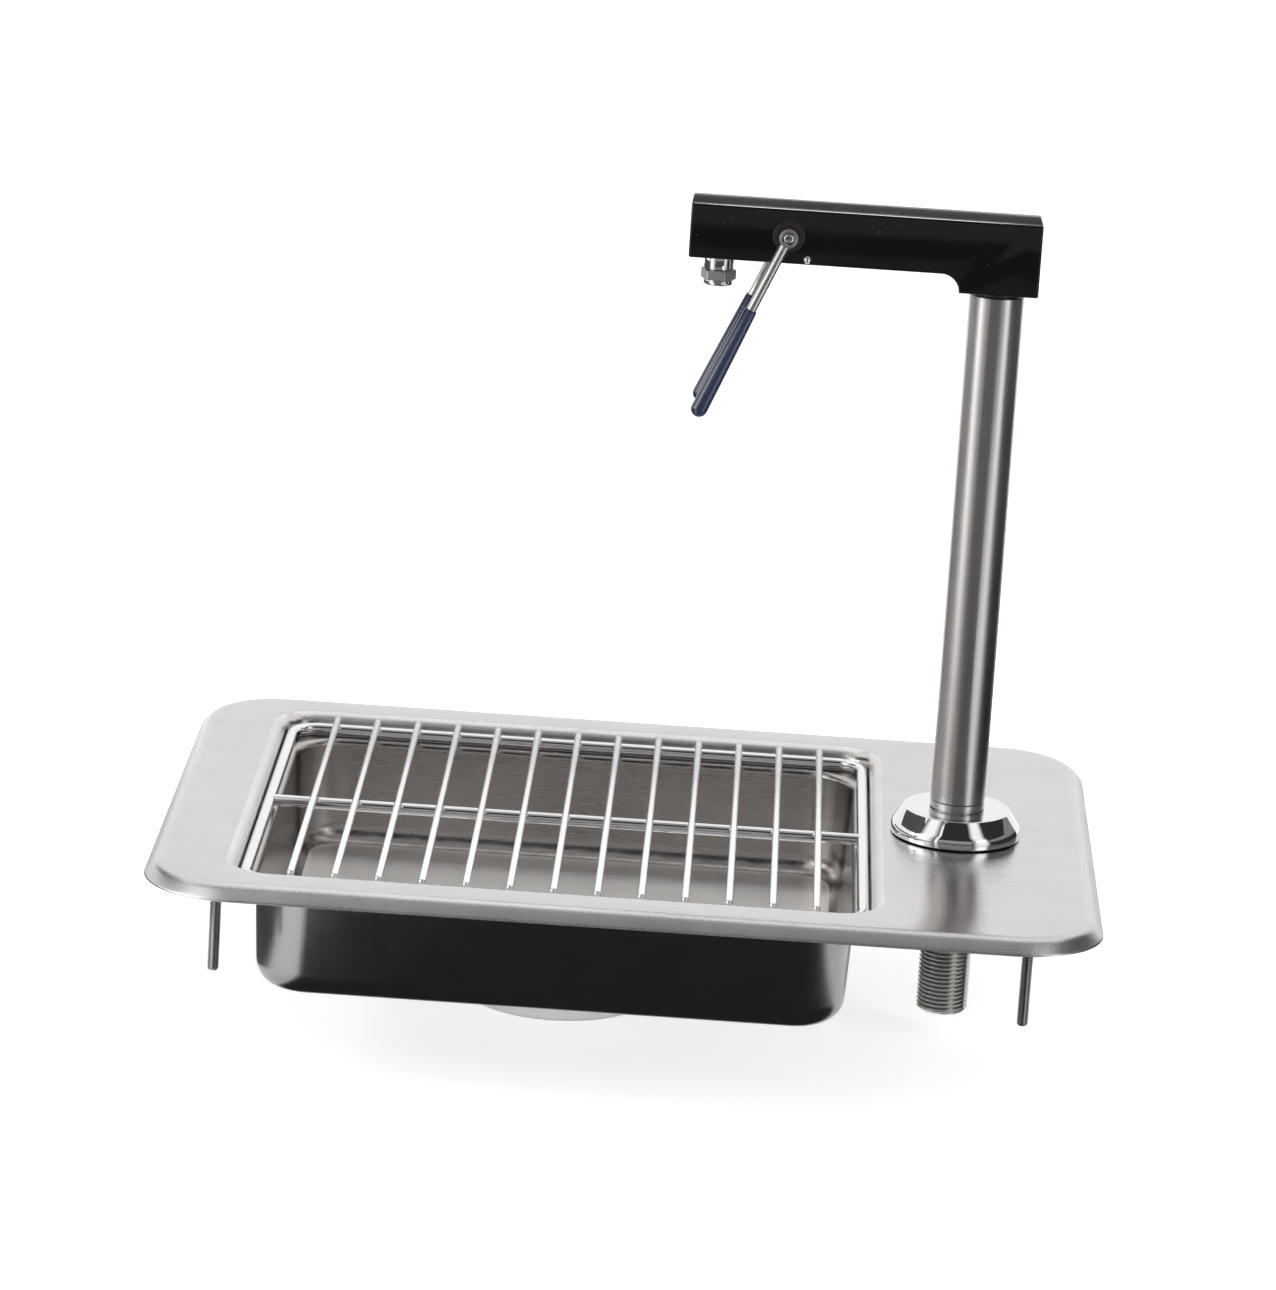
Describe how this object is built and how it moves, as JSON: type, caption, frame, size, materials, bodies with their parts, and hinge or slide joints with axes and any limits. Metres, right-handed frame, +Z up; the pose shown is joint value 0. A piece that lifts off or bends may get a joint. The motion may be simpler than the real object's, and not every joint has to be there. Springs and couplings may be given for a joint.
{
  "type": "water station with glass filler",
  "caption": "Drop-in steel pan with a wire rack, bowl and drain, and a column-mounted black filler head with a hanging push lever and nozzle.",
  "frame": {"origin": "centre of the pan's outline on the plane that its lip rests on", "axes": "+X along the pan's long side towards the column, -Y the front, +Z up"},
  "size_m": [0.378, 0.28, 0.3426],
  "materials": {
    "satin_steel": "brushed satin",
    "column_steel": "fine satin",
    "chrome": "polished",
    "brass": "machined",
    "rubber": "matte",
    "dark_plastic": "semi-gloss",
    "pale_plastic": "matte",
    "gloss_black": "gloss",
    "navy_vinyl": "satin"
  },
  "bodies": {
    "station": {"drip_pan": "satin_steel", "strainer_plate": "satin_steel", "drain_body": "satin_steel", "mounting_stud_front_left": "satin_steel", "mounting_stud_front_right": "satin_steel", "mounting_stud_back_right": "satin_steel", "mounting_stud_back_left": "satin_steel", "shank_washer": "satin_steel", "head_plug": "satin_steel", "valve_spring": "satin_steel", "nozzle_nut": "satin_steel", "stream_screen": "satin_steel", "column_tube": "column_steel", "escutcheon": "chrome", "threaded_shank": "chrome", "stop_pin": "chrome", "nozzle_tube": "chrome", "nozzle_tip": "chrome", "shank_locknut": "brass", "riser_tube": "brass", "valve_seat": "brass", "spring_cage": "brass", "drain_gasket": "rubber", "escutcheon_gasket": "rubber", "riser_seal_lower": "rubber", "riser_seal_upper": "rubber", "shaft_seal_front": "rubber", "shaft_seal_back": "rubber", "nozzle_o_ring": "rubber", "head_spigot": "dark_plastic", "bushing_front": "dark_plastic", "bushing_back": "dark_plastic", "drain_locknut": "pale_plastic", "head_body": "gloss_black"},
    "lever": {"lever_shaft": "satin_steel", "prong_front": "satin_steel", "prong_back": "satin_steel", "grip_front": "navy_vinyl", "grip_back": "navy_vinyl", "hub_screw_front": "chrome", "hub_screw_back": "chrome"},
    "valve": {"valve_poppet": "brass", "poppet_seal": "rubber"},
    "rack": {"rack_frame": "chrome", "rack_mid_rod": "chrome", "rack_wire_01": "chrome", "rack_wire_02": "chrome", "rack_wire_03": "chrome", "rack_wire_04": "chrome", "rack_wire_05": "chrome", "rack_wire_06": "chrome", "rack_wire_07": "chrome", "rack_wire_08": "chrome", "rack_wire_09": "chrome", "rack_wire_10": "chrome", "rack_wire_11": "chrome", "rack_wire_12": "chrome", "rack_wire_13": "chrome"}
  },
  "joints": [
    {"name": "lever_swing", "type": "hinge", "parent": "station", "child": "lever", "pos_m": [0.0474, 0, 0.2516], "axis": [0, -1, 0], "range_deg": [0, 45], "stiffness_Nm_per_rad": 0.03, "springref_deg": -28.65},
    {"name": "valve_slide", "type": "slide", "parent": "station", "child": "valve", "axis": [1, 0, 0], "range_m": [0, 0.0034], "deforming": ["valve_spring"]},
    {"name": "rack_lift", "type": "slide", "parent": "station", "child": "rack", "axis": [0, 0, 1], "range_m": [0, 0.1]}
  ],
  "couplings": [
    {"joint": "valve_slide", "follows": "lever_swing", "m_per_rad": 0.00419}
  ]
}
